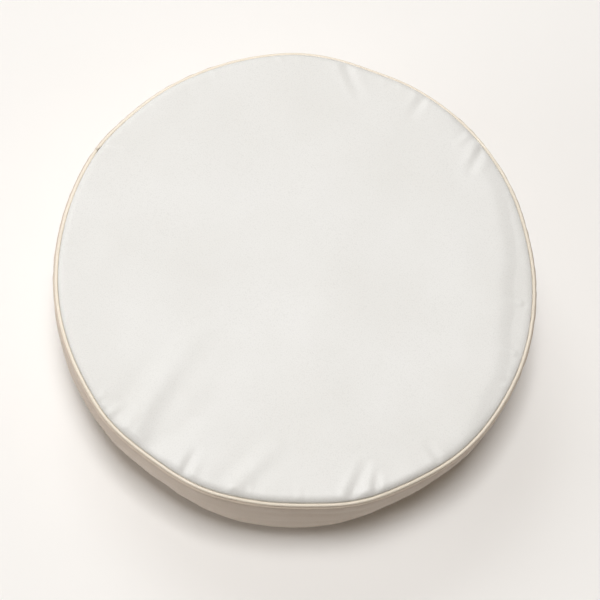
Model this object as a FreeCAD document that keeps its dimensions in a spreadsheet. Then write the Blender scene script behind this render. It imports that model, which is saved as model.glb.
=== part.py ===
import FreeCAD, Part
import math
import os
import Sketcher

# Spare tyre cover: a round front panel and a side band sewn together over a piped seam,
# with an elasticated mouth at the rear. It lies on its rear, front panel up.
# Origin: on the resting plane, on the cover's axis. +Z points out of the front panel.

# Driving dimensions, millimetres and degrees.
dimensions = {
    "diameter": 737,          # across the front, from piping centre to piping centre
    "depth": 203,             # rear face to front face
    "vinyl": 0.8,             # thickness of the coated cloth
    "front_roll": 12,         # radius where the front panel turns over into its seam
    "crown_radius": 800,      # lengthwise swell of the side band
    "shoulder_radius": 50,    # rear corner, where the band wraps round the tyre
    "mouth": 490,             # clear diameter of the rear opening
    "piping_diameter": 5,     # finished bead
    "piping_skin": 0.5,       # cloth of the piping sleeve
    "allowance": 12,          # height of the turned seam edges below the bead
    "thread": 0.4,            # sewing thread
    "clearance": 0.1,         # air left between neighbouring plies and threads
    "front_seam_drop": 2,     # front seam, below the underside of the bead
    "topstitch_drop": 5,      # topstitched row, below the underside of the bead
    "casing_width": 20,       # hem casing, from the mouth edge outwards
    "hem_margin": 3,          # hem row, in from the casing's raw edge
    "elastic_width": 10,
    "elastic_thickness": 1.5,
    "elastic_lap": 25,        # overlap of the elastic's two ends
    "tack_pitch": 6,          # spacing of the bars that tack the overlap
    "tack_margin": 1,         # from a bar's end to the elastic's edge
    "closing_azimuth": 158.7, # where the band and the piping are joined end to end
    "closing_gap": 8,         # between the two rows of the band's closing seam
    "closing_foot": 30,       # where those rows end, up from the bottom of the rear corner
    "label_length": 45,       # along the hem
    "label_width": 28,        # out from the hem row, over the rear return
    "label_thickness": 0.3,
    "label_turn": 12,         # from the closing seam round to the label
}
tack_bars = 3

doc = FreeCAD.newDocument("spare_tyre_cover")
sizes = doc.addObject("Spreadsheet::Sheet", "sizes")
for line, (alias, size) in enumerate(dimensions.items(), start=1):
    sizes.set(f"A{line}", alias)
    sizes.set(f"B{line}", str(size))
    sizes.setAlias(f"B{line}", alias)
doc.recompute()

# Places worked out from the dimensions, as expressions that the features are bound to.
ply_room = "(sizes.thread + 2 * sizes.clearance)"
bead_r = "(sizes.diameter / 2)"
bead_z = "(sizes.depth - sizes.front_roll)"
bead_foot = f"({bead_z} - sizes.piping_diameter / 2)"
edge_z = f"({bead_foot} - sizes.allowance)"
front_seam_z = f"({bead_foot} - sizes.front_seam_drop)"
topstitch_z = f"({bead_foot} - sizes.topstitch_drop)"

skirt_r = f"({bead_r} - sizes.piping_diameter / 2 - sizes.clearance)"
inner_thread_r = f"({skirt_r} - sizes.vinyl - {ply_room} / 2)"

sleeve_r = "(sizes.piping_diameter / 2 - sizes.piping_skin / 2)"
flange_half = "((sizes.piping_skin + sizes.clearance) / 2)"
flange_face = f"({flange_half} + sizes.piping_skin / 2)"

turned_ply_r = f"({bead_r} + {flange_face} + {ply_room} + sizes.vinyl / 2)"
fold_r = f"(({ply_room} + sizes.vinyl) / 2)"
face_r = f"({turned_ply_r} + 2 * {fold_r})"
fold_z = f"({bead_foot} - sizes.clearance - sizes.vinyl / 2 - {fold_r})"

corner_r = "(sizes.shoulder_radius - sizes.vinyl / 2)"
return_z = "(sizes.vinyl / 2)"
half_face = f"(({fold_z} - {return_z} - {corner_r}) / (2 - {corner_r} / sizes.crown_radius))"
crown_z = f"({fold_z} - {half_face})"
crown_x = f"({face_r} - sqrt(sizes.crown_radius ^ 2 - {half_face} ^ 2))"
joint_z = f"({fold_z} - 2 * {half_face})"
corner_x = f"({face_r} - {corner_r} * ({face_r} - {crown_x}) / sizes.crown_radius)"
corner_z = f"({return_z} + {corner_r})"

casing_room = "(2 * sizes.elastic_thickness + sizes.thread + 3 * sizes.clearance)"
casing_fold_r = f"(({casing_room} + sizes.vinyl) / 2)"
casing_x = f"(sizes.mouth / 2 + sizes.vinyl / 2 + {casing_fold_r})"
casing_edge_r = "(sizes.mouth / 2 + sizes.casing_width)"
casing_top_z = f"(sizes.vinyl * 2 + {casing_room})"
hem_r = f"({casing_edge_r} - sizes.hem_margin)"
elastic_r = casing_x  # the braid lies where the casing's plies are flat
elastic_z = "(sizes.vinyl + sizes.clearance)"

upright = FreeCAD.Rotation(FreeCAD.Vector(1, 0, 0), 90)  # stands a sketch up on the X and Z axes
axis_up = FreeCAD.Vector(0, 0, 1)
whole_turn = "360"
parts = []


def number(expression):
    return float(sizes.evalExpression(expression))


def point(place):
    return FreeCAD.Vector(number(place[0]), number(place[1]), 0)


def finish(part, label):
    part.Label = label
    parts.append(part)


def bind(sketch, kind, geometry, end, expression):
    """Dimension one point of the sketch from the sketch's origin and bind it to an expression."""
    place = sketch.addConstraint(
        Sketcher.Constraint(kind, -1, 1, geometry, end, number(expression)))
    sketch.setExpression(f"Constraints[{place}]", expression)


def pin(sketch, geometry, end, place):
    """Hold one point of the sketch at its distance from the axis and its height."""
    if place[0] == "0":
        sketch.addConstraint(Sketcher.Constraint("PointOnObject", geometry, end, -2))
    else:
        bind(sketch, "DistanceX", geometry, end, place[0])
    bind(sketch, "DistanceY", geometry, end, place[1])


def add_arc(sketch, start, finish_place, centre, left):
    """An arc that turns left, or right, from start to finish; its ends are (geometry, head, tail)."""
    middle = point(centre)
    ends = (start, finish_place) if left else (finish_place, start)
    arms = [point(end) - middle for end in ends]
    angles = [math.atan2(arm.y, arm.x) for arm in arms]
    circle = Part.Circle(middle, FreeCAD.Vector(0, 0, 1), arms[0].Length)
    arc = sketch.addGeometry(Part.ArcOfCircle(circle, *angles))
    chord = arms[1] - arms[0]
    if abs(chord.y) > abs(chord.x):
        bind(sketch, "DistanceX", arc, 3, centre[0])
    else:
        bind(sketch, "DistanceY", arc, 3, centre[1])
    return (arc, 1, 2) if left else (arc, 2, 1)


def draw(sketch, corners, rounds, closed=False):
    """Join the corners in order. rounds gives a leg's centre and whether it turns left."""
    if closed:
        corners = corners + corners[:1]
    legs = []
    for leg, (start, following) in enumerate(zip(corners, corners[1:])):
        if leg in rounds:
            legs.append(add_arc(sketch, start, following, *rounds[leg]))
        else:
            line = sketch.addGeometry(Part.LineSegment(point(start), point(following)))
            legs.append((line, 1, 2))
        pin(sketch, legs[-1][0], legs[-1][1], start)
    joints = list(zip(legs, legs[1:]))
    if closed:
        joints.append((legs[-1], legs[0]))
    else:
        pin(sketch, legs[-1][0], legs[-1][2], corners[-1])
    for (this, _, tail), (following, head, _) in joints:
        sketch.addConstraint(Sketcher.Constraint("Coincident", this, tail, following, head))


def standing_sketch(name):
    sketch = doc.addObject("Sketcher::SketchObject", name)
    sketch.Placement = FreeCAD.Placement(FreeCAD.Vector(0, 0, 0), upright)
    return sketch


def turned_part(label, outline, angle):
    """A closed outline turned about the cover's axis."""
    ring = doc.addObject("Part::Revolution", label)
    ring.Source = outline
    ring.Axis = axis_up
    ring.Base = FreeCAD.Vector(0, 0, 0)
    ring.Solid = True
    ring.Symmetric = True
    ring.setExpression("Angle", angle)
    return ring


def cloth_ring(label, corners, rounds, thickness, angle=whole_turn):
    """A ply that follows the drawn line at an even thickness, turned about the cover's axis."""
    sketch = standing_sketch(f"{label}_line")
    draw(sketch, corners, rounds)
    outline = doc.addObject("Part::Offset2D", f"{label}_outline")
    outline.Source = sketch
    outline.Fill = True
    outline.setExpression("Value", f"{thickness} / 2")
    return turned_part(label, outline, angle)


def flat_strip(label, low, high, angle):
    """A straight piece of rectangular section, turned part of the way round the axis."""
    sketch = standing_sketch(f"{label}_section")
    draw(sketch, rectangle(low, high), {}, closed=True)
    return turned_part(label, sketch, angle)


def rectangle(low, high):
    return [low, (high[0], low[1]), high, (low[0], high[1])]


def turned_feature(body, name, corners, rounds, angle=whole_turn):
    """A closed outline on the body's upright plane, turned about the cover's axis."""
    sketch = body.newObject("Sketcher::SketchObject", f"{name}_outline")
    plane = next(p for p in body.Origin.OriginFeatures if p.Role == "XZ_Plane")
    sketch.AttachmentSupport = [(plane, "")]
    sketch.MapMode = "FlatFace"
    draw(sketch, corners, rounds, closed=True)
    turn = body.newObject("PartDesign::Revolution", name)
    turn.Profile = sketch
    turn.ReferenceAxis = (sketch, ["V_Axis"])
    turn.Midplane = True
    turn.setExpression("Angle", angle)


def thread_ring(label, radius, height):
    ring = doc.addObject("Part::Torus", label)
    ring.setExpression("Radius1", radius)
    ring.setExpression("Radius2", "sizes.thread / 2")
    ring.setExpression("Placement.Base.z", height)
    return ring


def make_front_panel():
    """Flat disc that rolls over at its rim and runs down as a turned seam edge."""
    rim_x = f"({skirt_r} - sizes.front_roll)"
    inside_r = f"({skirt_r} - sizes.vinyl)"
    inside_z = "(sizes.depth - sizes.vinyl)"
    roll_centre = (rim_x, bead_z)
    corners = [
        ("0", inside_z),
        ("0", "sizes.depth"),
        (rim_x, "sizes.depth"),
        (skirt_r, bead_z),
        (skirt_r, edge_z),
        (inside_r, edge_z),
        (inside_r, bead_z),
        (rim_x, inside_z),
    ]
    body = doc.addObject("PartDesign::Body", "front_panel")
    turned_feature(body, "front_panel_disc", corners,
                   {2: (roll_centre, False), 6: (roll_centre, True)})
    finish(body, "front_panel")


def make_side_band():
    """One strip: turned top edge, crowned face, rear corner, rear return and hem casing."""
    cover_z = f"({return_z} + 2 * {casing_fold_r})"
    corners = [
        (turned_ply_r, edge_z),
        (turned_ply_r, fold_z),
        (face_r, fold_z),
        (face_r, joint_z),
        (corner_x, return_z),
        (casing_x, return_z),
        (casing_x, cover_z),
        (casing_edge_r, cover_z),
    ]
    rounds = {
        1: ((f"({turned_ply_r} + {fold_r})", fold_z), False),
        2: ((crown_x, crown_z), False),
        3: ((corner_x, corner_z), False),
        5: ((casing_x, f"({return_z} + {casing_fold_r})"), False),
    }
    finish(cloth_ring("side_band", corners, rounds, "sizes.vinyl"), "side_band")


def make_piping():
    """Cream piping: a filler cord in a folded sleeve, whose flange hangs into the seam."""
    inner_r = f"({bead_r} - {flange_half})"
    outer_r = f"({bead_r} + {flange_half})"
    throat_z = f"({bead_z} - sqrt({sleeve_r} ^ 2 - {flange_half} ^ 2))"
    corners = [(inner_r, edge_z), (inner_r, throat_z), (outer_r, throat_z), (outer_r, edge_z)]
    rounds = {1: ((bead_r, bead_z), False)}
    sleeve = cloth_ring("piping_sleeve", corners, rounds, "sizes.piping_skin")
    finish(sleeve, "piping_sleeve")
    cord = doc.addObject("Part::Torus", "piping_cord")
    cord.setExpression("Radius1", bead_r)
    cord.setExpression("Radius2", f"{sleeve_r} - sizes.piping_skin / 2 - sizes.clearance")
    cord.setExpression("Placement.Base.z", bead_z)
    finish(cord, "piping_cord")


def make_ring_threads():
    """Each row is a lockstitch: a needle thread on one side, a bobbin thread on the other."""
    piping_seam_z = f"({bead_foot} - sizes.thread)"
    flange_ring = f"({flange_face} + {ply_room} / 2)"
    fold_thread_r = f"({turned_ply_r} + {fold_r})"
    topstitch_rise = f"({topstitch_z} - {crown_z})"
    topstitch_face = f"({crown_x} + sqrt(sizes.crown_radius ^ 2 - {topstitch_rise} ^ 2))"
    topstitch_r = f"({topstitch_face} + sizes.vinyl / 2 + {ply_room} / 2)"
    hem_needle_z = f"({casing_top_z} + sizes.label_thickness + sizes.clearance + {ply_room} / 2)"
    hem_bobbin_z = f"(sizes.vinyl + {ply_room} / 2)"
    rings = {
        "piping_needle_thread": (f"({bead_r} - {flange_ring})", piping_seam_z),
        "piping_bobbin_thread": (f"({bead_r} + {flange_ring})", piping_seam_z),
        "front_seam_needle_thread": (inner_thread_r, front_seam_z),
        "front_seam_bobbin_thread": (fold_thread_r, front_seam_z),
        "topstitch_needle_thread": (topstitch_r, topstitch_z),
        "topstitch_bobbin_thread": (inner_thread_r, topstitch_z),
        "hem_needle_thread": (hem_r, hem_needle_z),
        "hem_bobbin_thread": (hem_r, hem_bobbin_z),
    }
    for label, (radius, height) in rings.items():
        finish(thread_ring(label, radius, height), label)


def turn_to(part, azimuth):
    """Turn a piece about the cover's axis to its azimuth."""
    part.Placement = FreeCAD.Placement(FreeCAD.Vector(0, 0, 0), FreeCAD.Rotation(axis_up, 1))
    part.setExpression("Placement.Rotation.Angle", azimuth)


def degrees_of(length, radius):
    return f"({length} / {radius} * 180 / pi)"


def closing_row(name, reach, top_z, azimuth):
    """A thread that runs down the band at a reach outside (or inside) the line of its cloth."""
    crown_reach = f"(sizes.crown_radius + {reach})"
    corner_reach = f"({corner_r} + {reach})"
    top_x = f"({crown_x} + sqrt({crown_reach} ^ 2 - ({top_z} - {crown_z}) ^ 2))"
    joint_x = f"({crown_x} + {crown_reach} * ({face_r} - {crown_x}) / sizes.crown_radius)"
    joint_foot_z = f"({crown_z} - {crown_reach} * {half_face} / sizes.crown_radius)"
    foot_x = f"({corner_x} + {corner_reach} * sin(sizes.closing_foot))"
    foot_z = f"({corner_z} - {corner_reach} * cos(sizes.closing_foot))"
    row = cloth_ring(
        name,
        [(top_x, top_z), (joint_x, joint_foot_z), (foot_x, foot_z)],
        {0: ((crown_x, crown_z), False), 1: ((corner_x, corner_z), False)},
        "sizes.thread",
        degrees_of("sizes.thread", bead_r),
    )
    turn_to(row, azimuth)
    return row


def make_closing_threads():
    """Two rows close the band's overlapped ends, with a needle and a bobbin thread each."""
    reach = f"(sizes.vinyl / 2 + {ply_room} / 2)"
    half_gap = degrees_of("sizes.closing_gap / 2", bead_r)
    sides = {
        "closing_needle_thread": (reach, f"({topstitch_z} - {ply_room})"),
        "closing_bobbin_thread": (f"(0 - {reach})", f"({edge_z} - {ply_room})"),
    }
    for label, (side_reach, top_z) in sides.items():
        pair = doc.addObject("Part::Compound", label)
        pair.Links = [
            closing_row(f"{label}_{row}", side_reach, top_z,
                        f"sizes.closing_azimuth {sign} {half_gap}")
            for row, sign in (("first", "-"), ("second", "+"))
        ]
        finish(pair, label)


def make_hem_elastic():
    """Flat braid in the casing, a closed loop whose ends are laid over each other and tacked."""
    outer_r = f"({elastic_r} + sizes.elastic_width)"
    middle_r = f"({elastic_r} + sizes.elastic_width / 2)"
    lap_z = f"({elastic_z} + sizes.elastic_thickness)"
    top_z = f"({lap_z} + sizes.elastic_thickness)"
    body = doc.addObject("PartDesign::Body", "hem_elastic")
    loop = rectangle((elastic_r, elastic_z), (outer_r, lap_z))
    turned_feature(body, "elastic_loop", loop, {})
    lap = rectangle((elastic_r, lap_z), (outer_r, top_z))
    turned_feature(body, "elastic_overlap", lap, {}, degrees_of("sizes.elastic_lap", middle_r))
    turn_to(body, "sizes.closing_azimuth")
    finish(body, "hem_elastic")

    bar_z = f"({top_z} + sizes.clearance)"
    bar_start = (f"({elastic_r} + sizes.tack_margin)", bar_z)
    bar_end = (f"({outer_r} - sizes.tack_margin)", f"({bar_z} + sizes.thread)")
    bar_angle = degrees_of("sizes.thread", middle_r)
    step = degrees_of("sizes.tack_pitch", middle_r)
    bars = []
    for place in range(tack_bars):
        bar = flat_strip(f"tack_bar_{place + 1}", bar_start, bar_end, bar_angle)
        turn_to(bar, f"sizes.closing_azimuth + ({place} - {tack_bars - 1} / 2) * {step}")
        bars.append(bar)
    tack = doc.addObject("Part::Compound", "elastic_tack_thread")
    tack.Links = bars
    finish(tack, "elastic_tack_thread")


def make_care_label():
    """Blank woven tab, caught under the hem row inside the mouth."""
    foot_z = f"({casing_top_z} + sizes.clearance)"
    sewn_end = f"({hem_r} - sizes.hem_margin)"
    label = flat_strip(
        "care_label",
        (sewn_end, foot_z),
        (f"({sewn_end} + sizes.label_width)", f"({foot_z} + sizes.label_thickness)"),
        degrees_of("sizes.label_length", hem_r),
    )
    turn_to(label, "sizes.closing_azimuth + sizes.label_turn")
    finish(label, "care_label")


make_front_panel()
make_side_band()
make_piping()
make_ring_threads()
make_closing_threads()
make_hem_elastic()
make_care_label()

doc.recompute()
for item in doc.Objects:
    if "Invalid" in item.State or "Error" in item.State:
        raise RuntimeError(f"{item.Label} did not compute")
os.makedirs("parts", exist_ok=True)
for part in parts:
    if part.Shape.isNull() or not part.Shape.isValid():
        raise RuntimeError(f"{part.Label} has no valid solid")
    part.Shape.exportStep(f"parts/{part.Label}.step")
    print(part.Label, round(part.Shape.Volume, 1), part.Shape.BoundBox)
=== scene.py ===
import math

import bpy
import numpy as np
from mathutils import Matrix, Vector, noise


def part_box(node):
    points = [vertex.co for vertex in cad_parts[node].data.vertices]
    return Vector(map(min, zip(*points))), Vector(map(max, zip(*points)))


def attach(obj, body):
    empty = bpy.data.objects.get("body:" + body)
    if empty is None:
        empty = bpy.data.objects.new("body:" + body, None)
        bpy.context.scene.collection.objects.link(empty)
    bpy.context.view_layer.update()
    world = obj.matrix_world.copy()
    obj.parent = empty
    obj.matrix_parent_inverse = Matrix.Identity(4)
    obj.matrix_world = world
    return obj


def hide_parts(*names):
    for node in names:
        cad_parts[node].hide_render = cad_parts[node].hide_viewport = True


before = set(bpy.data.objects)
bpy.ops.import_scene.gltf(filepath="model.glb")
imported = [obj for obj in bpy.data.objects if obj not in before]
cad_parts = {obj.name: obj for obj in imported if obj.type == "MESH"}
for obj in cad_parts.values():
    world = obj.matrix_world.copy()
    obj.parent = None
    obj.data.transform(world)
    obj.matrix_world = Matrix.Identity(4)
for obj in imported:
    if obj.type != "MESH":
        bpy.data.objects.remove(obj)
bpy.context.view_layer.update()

scene = bpy.context.scene
fullTurn = 2 * math.pi

# the camera comes first: it looks down on the front panel, slightly rolled
cameraLook = {
    "aim": (0.0141, -0.0279, 0.150),
    "elevation": 71.32,
    "roll": 15.16,
    "distance": 2.679,
    "lens": 103.3,
}


def makeCamera():
    look = cameraLook
    lift, roll = math.radians(look["elevation"]), math.radians(look["roll"])
    back = Vector((0, -math.cos(lift), math.sin(lift)))
    across = Vector((1, 0, 0))
    up = back.cross(across)
    right = math.cos(roll) * across + math.sin(roll) * up
    top = -math.sin(roll) * across + math.cos(roll) * up
    data = bpy.data.cameras.new("camera")
    data.lens = look["lens"]
    camera = bpy.data.objects.new("camera", data)
    place = Matrix.Translation(Vector(look["aim"]) + look["distance"] * back)
    camera.matrix_world = place @ Matrix((right, top, back)).transposed().to_4x4()
    scene.collection.objects.link(camera)
    scene.camera = camera


makeCamera()
print("camera placed")

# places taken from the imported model
cordLow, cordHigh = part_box("piping_cord")
cordRadius = (cordHigh.z - cordLow.z) / 2
rimRadius = cordHigh.x - cordRadius            # centre line of the piping's bead
rimHeight = (cordHigh.z + cordLow.z) / 2
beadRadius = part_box("piping_sleeve")[1].x - rimRadius
panelLow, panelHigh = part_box("front_panel")
topHeight = panelHigh.z
seamEdge = panelLow.z                          # lower end of the turned plies
skirtRadius = -panelLow.x
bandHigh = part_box("side_band")[1]
elasticLow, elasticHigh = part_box("hem_elastic")
braidWidth = 0.010
elasticInner = elasticHigh.x - braidWidth
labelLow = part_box("care_label")[0]
closingLow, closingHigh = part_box("closing_needle_thread")
closingTurn = math.atan2(closingLow.y + closingHigh.y, closingLow.x + closingHigh.x)


def middleHeight(node):
    low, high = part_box(node)
    return (low.z + high.z) / 2


def middleReach(node):
    # radius of the centre line of a ring of thread
    low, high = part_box(node)
    return max(high.x, high.y) - (high.z - low.z) / 2


# how the sewn cloth differs from a true drum
rimShape = {
    # pulls on the piped rim: azimuth and half spread in degrees, millimetres outwards
    "pulls": [
        (-155, 9, 0.7), (-126, 7, 2.2), (-111, 7, -1.8), (-88, 7, -2.3), (-75, 11, -6.3),
        (-49, 9, -2.0), (-32, 11, 2.9), (-12, 16, 1.8), (26, 10, -1.6), (42, 14, 1.0),
        (57, 9, 1.4), (85, 8, -3.4), (104, 8, 1.8), (130, 14, -2.2), (150, 9, -2.2),
        (162, 7, 1.0), (-178, 10, -0.8),
    ],
    # the same rim up and down
    "rises": [(-73, 16, 0.8), (20, 25, -1.0), (110, 20, 0.6), (-130, 14, -0.5)],
    "panelReach": 0.11,      # how far in from the rim the panel follows it
    "bandReach": 0.13,       # how far down the band does
}


def bumps(turn, pulls):
    total = np.zeros_like(turn)
    for azimuth, spread, size in pulls:
        away = (np.degrees(turn) - azimuth + 180) % 360 - 180
        total = total + size * np.exp(-((away / spread) ** 2))
    return total / 1000


def smooth(value):
    clipped = np.clip(value, 0, 1)
    return clipped * clipped * (3 - 2 * clipped)


def ringTurns(count):
    return np.linspace(-math.pi, math.pi, count, endpoint=False)


def runsAlong(spots):
    # how far along a line each of its points lies
    steps = np.linalg.norm(np.diff(spots, axis=0), axis=1)
    return np.concatenate([[0], np.cumsum(steps)])


def normalsAlong(tangents):
    tangents = tangents / np.linalg.norm(tangents, axis=1, keepdims=True)
    return np.stack([-tangents[:, 1], tangents[:, 0]], axis=-1)


def noiseRound(turn, along, roundScale, alongScale, seed):
    # smooth noise that closes on itself round the cover; both scales are lengths
    x = np.cos(turn) * rimRadius / roundScale + seed
    y = np.sin(turn) * rimRadius / roundScale
    x, y, z = np.broadcast_arrays(x, y, along / alongScale)
    values = [noise.noise(Vector(spot)) for spot in zip(x.ravel(), y.ravel(), z.ravel())]
    return np.array(values).reshape(x.shape)


def followRim(turn, radius, height):
    # a point near the rim goes with the pulls, and one far from it stays
    inward = smooth(1 - (skirtRadius - radius) / rimShape["panelReach"])
    down = smooth(1 - (seamEdge - height) / rimShape["bandReach"])
    share = inward * down
    out = bumps(turn, rimShape["pulls"]) * share
    lift = bumps(turn, rimShape["rises"]) * share
    return radius + out, height + lift


def standing(turn, radius, height):
    # radius and height at an azimuth, as a point or as a direction
    turn, radius, height = np.broadcast_arrays(turn, radius, height)
    return np.stack([radius * np.cos(turn), radius * np.sin(turn), height], axis=-1)


def meshPiece(name, vertices, faces, edges=()):
    mesh = bpy.data.meshes.new(name)
    mesh.from_pydata(vertices, edges, faces)
    piece = bpy.data.objects.new(name, mesh)
    scene.collection.objects.link(piece)
    return piece


def gridPiece(name, points, closedRound=True, closedSection=True, poles=(), acrossSteps=None,
              sectionSteps=None):
    # rows follow the section and columns go round; poles close a disc, caps an open strip
    rows, columns = points.shape[:2]
    index = np.arange(rows * columns).reshape(rows, columns)
    rowPairs = rows if closedSection else rows - 1
    columnPairs = columns if closedRound else columns - 1
    i, j = np.meshgrid(np.arange(rowPairs), np.arange(columnPairs), indexing="ij")
    nextRow, nextColumn = (i + 1) % rows, (j + 1) % columns
    quads = np.stack([index[i, j], index[nextRow, j], index[nextRow, nextColumn],
                      index[i, nextColumn]], axis=-1).reshape(-1, 4)
    vertices = points.reshape(-1, 3).tolist()
    faces = quads.tolist()
    v = np.arange(rowPairs + 1) if sectionSteps is None else sectionSteps
    u = np.arange(columnPairs + 1) if acrossSteps is None else acrossSteps
    corners = np.stack([np.stack([u[j + aside], v[i + along]], axis=-1)
                        for aside, along in ((0, 0), (0, 1), (1, 1), (1, 0))], axis=2)
    spots = [corners.reshape(-1, 2)]
    for pole, row, turned in poles:
        vertices.append(list(pole))
        peak = len(vertices) - 1
        for column in range(columnPairs):
            following = (column + 1) % columns
            ends = [index[row, column], index[row, following]]
            faces.append([peak] + [int(end) for end in (ends[::-1] if turned else ends)])
            spots.append(np.array([[u[column], v[0]]] * 3))
    if not closedRound:
        faces.append(index[::-1, 0].tolist())
        faces.append(index[:, -1].tolist())
        spots.append(np.zeros((2 * rows, 2)))
    piece = meshPiece(name, vertices, faces)
    layer = piece.data.uv_layers.new(name="cloth")
    layer.data.foreach_set("uv", np.concatenate(spots).astype(np.float32).ravel())
    piece.data.shade_smooth()
    return piece


def showBacking(piece, columns, *spans):
    # these rows of faces show the knitted back of the cloth
    inside = np.zeros(len(piece.data.polygons), dtype=np.int32)
    for first, last in spans:
        inside[first * columns: last * columns] = 1
    piece.data.polygons.foreach_set("material_index", inside)


def hand(piece, slot, node, *names):
    for name in names:
        piece.data.materials.append(finishes[name])
    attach(piece, "root")
    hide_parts(node)


# shader helpers, and the groups that several finishes share

def addNode(tree, kind, inputs=None, **settings):
    node = tree.nodes.new(kind)
    for setting, value in settings.items():
        setattr(node, setting, value)
    for socket, value in (inputs or {}).items():
        if isinstance(value, bpy.types.NodeSocket):
            tree.links.new(value, node.inputs[socket])
        else:
            node.inputs[socket].default_value = value
    return node


def result(tree, kind, inputs=None, **settings):
    return addNode(tree, kind, inputs, **settings).outputs[0]


def maths(tree, operation, first, second=0.0):
    return result(tree, "ShaderNodeMath", {0: first, 1: second}, operation=operation)


def remap(tree, value, start, end, low=0.0, high=1.0):
    return result(tree, "ShaderNodeMapRange", {
        "Value": value, "From Min": start, "From Max": end, "To Min": low, "To Max": high})


def cloud(tree, place, scale, detail, roughness=0.5):
    return addNode(tree, "ShaderNodeTexNoise", {
        "Vector": place, "Scale": scale, "Detail": detail, "Roughness": roughness})


def newGroup(name, inputs, outputs):
    # an input without a value is a vector, and all others are single numbers
    tree = bpy.data.node_groups.new(name, "ShaderNodeTree")
    for label, value in inputs.items():
        kind = "NodeSocketVector" if value is None else "NodeSocketFloat"
        socket = tree.interface.new_socket(name=label, in_out="INPUT", socket_type=kind)
        if value is not None:
            socket.default_value = value
    for label in outputs:
        tree.interface.new_socket(name=label, in_out="OUTPUT", socket_type="NodeSocketFloat")
    return tree, tree.nodes.new("NodeGroupInput").outputs


def closeGroup(tree, results):
    leave = tree.nodes.new("NodeGroupOutput")
    for label, value in results.items():
        tree.links.new(value, leave.inputs[label])
    return tree


def makeLeatherGrain():
    # pebbled grain of coated cloth, as a height and as a mask of its valleys for painted shade
    tree, given = newGroup("leatherGrain", {"Vector": None, "Scale": 700.0, "Soft": 0.35},
                           ("Height", "ValleyShade"))
    bend = cloud(tree, given["Vector"], 260.0, 2.0)
    shift = result(tree, "ShaderNodeVectorMath", {
        0: bend.outputs["Color"], 1: (0.0012, 0.0012, 0.0012)}, operation="MULTIPLY")
    place = result(tree, "ShaderNodeVectorMath", {0: given["Vector"], 1: shift},
                   operation="ADD")
    cells = result(tree, "ShaderNodeTexVoronoi", {
        "Vector": place, "Scale": given["Scale"], "Smoothness": given["Soft"]},
        feature="SMOOTH_F1")
    fine = cloud(tree, given["Vector"], 2400.0, 1.0).outputs["Fac"]
    domed = maths(tree, "SUBTRACT", 1.0, cells)
    speck = maths(tree, "MULTIPLY", fine, 0.18)
    return closeGroup(tree, {"Height": maths(tree, "ADD", domed, speck),
                             "ValleyShade": remap(tree, cells, 0.45, 0.85)})


def makeHandling():
    # broad unevenness from handling and storage, and a light dusting
    tree, given = newGroup("handling", {"Vector": None, "Patch Scale": 6.0},
                           ("Patches", "Dust"))
    broad = cloud(tree, given["Vector"], given["Patch Scale"], 4.0, 0.55).outputs["Fac"]
    motes = cloud(tree, given["Vector"], 620.0, 2.0).outputs["Fac"]
    return closeGroup(tree, {"Patches": remap(tree, broad, 0.3, 0.7),
                             "Dust": remap(tree, motes, 0.58, 0.8)})


def makeWeave():
    # over-and-under weave on coordinates in metres; pitch is the spacing of its yarns
    pitches = ("Across Pitch", "Along Pitch")
    tree, given = newGroup("weave", {"Vector": None, **dict.fromkeys(pitches, 0.0008)},
                           ("Height", "Gap"))
    parts = addNode(tree, "ShaderNodeSeparateXYZ", {0: given["Vector"]}).outputs
    waves = []
    for axis, pitch in enumerate(pitches):
        count = maths(tree, "DIVIDE", parts[axis], given[pitch])
        waves.append(maths(tree, "SINE", maths(tree, "MULTIPLY", count, math.pi)))
    height = maths(tree, "ABSOLUTE", maths(tree, "MULTIPLY", *waves))
    return closeGroup(tree, {"Height": maths(tree, "POWER", height, 0.6),
                             "Gap": remap(tree, height, 0.25, 0.0)})


def makeYarnTwist():
    # slanting plies of a twisted yarn, from how far along and round it a point lies
    lengths = {"Along": 0.0, "Round": 0.0, "Twists": 1.0, "Plies": 3.0}
    tree, given = newGroup("yarnTwist", lengths, ("Height", "Groove"))
    turned = maths(tree, "MULTIPLY", given["Along"], given["Twists"])
    plied = maths(tree, "MULTIPLY", given["Round"], given["Plies"])
    phase = maths(tree, "MULTIPLY", maths(tree, "ADD", turned, plied), math.pi)
    ridge = maths(tree, "ABSOLUTE", maths(tree, "SINE", phase))
    return closeGroup(tree, {"Height": ridge, "Groove": remap(tree, ridge, 0.4, 0.0)})


groups = {
    "grain": makeLeatherGrain(),
    "handling": makeHandling(),
    "weave": makeWeave(),
    "twist": makeYarnTwist(),
}


def fillGroup(tree, name, inputs):
    return addNode(tree, "ShaderNodeGroup", inputs, node_tree=groups[name]).outputs


def newFinish(name, **constants):
    material = bpy.data.materials.new(name)
    material.use_nodes = True
    tree = material.node_tree
    shader = tree.nodes["Principled BSDF"]
    for socket, value in constants.items():
        shader.inputs[socket.replace("_", " ")].default_value = value
    return material, tree, shader


def blendColours(tree, share, first, second):
    mix = addNode(tree, "ShaderNodeMix", {"Factor": share}, data_type="RGBA")
    for name, value in (("A", first), ("B", second)):
        socket = next(s for s in mix.inputs if s.name == name and s.type == "RGBA")
        if isinstance(value, bpy.types.NodeSocket):
            tree.links.new(value, socket)
        else:
            socket.default_value = (*value, 1)
    return next(s for s in mix.outputs if s.type == "RGBA")


def applyFinish(tree, shader, colour, roughness, height, strength, distance):
    bump = addNode(tree, "ShaderNodeBump", {
        "Height": height, "Strength": strength, "Distance": distance})
    tree.links.new(colour, shader.inputs["Base Color"])
    tree.links.new(roughness, shader.inputs["Roughness"])
    tree.links.new(bump.outputs["Normal"], shader.inputs["Normal"])


def spread(tree, value, low, high):
    return remap(tree, value, 0.0, 1.0, low, high)


def bodyPlace(tree):
    return tree.nodes.new("ShaderNodeTexCoord").outputs["Object"]


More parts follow.
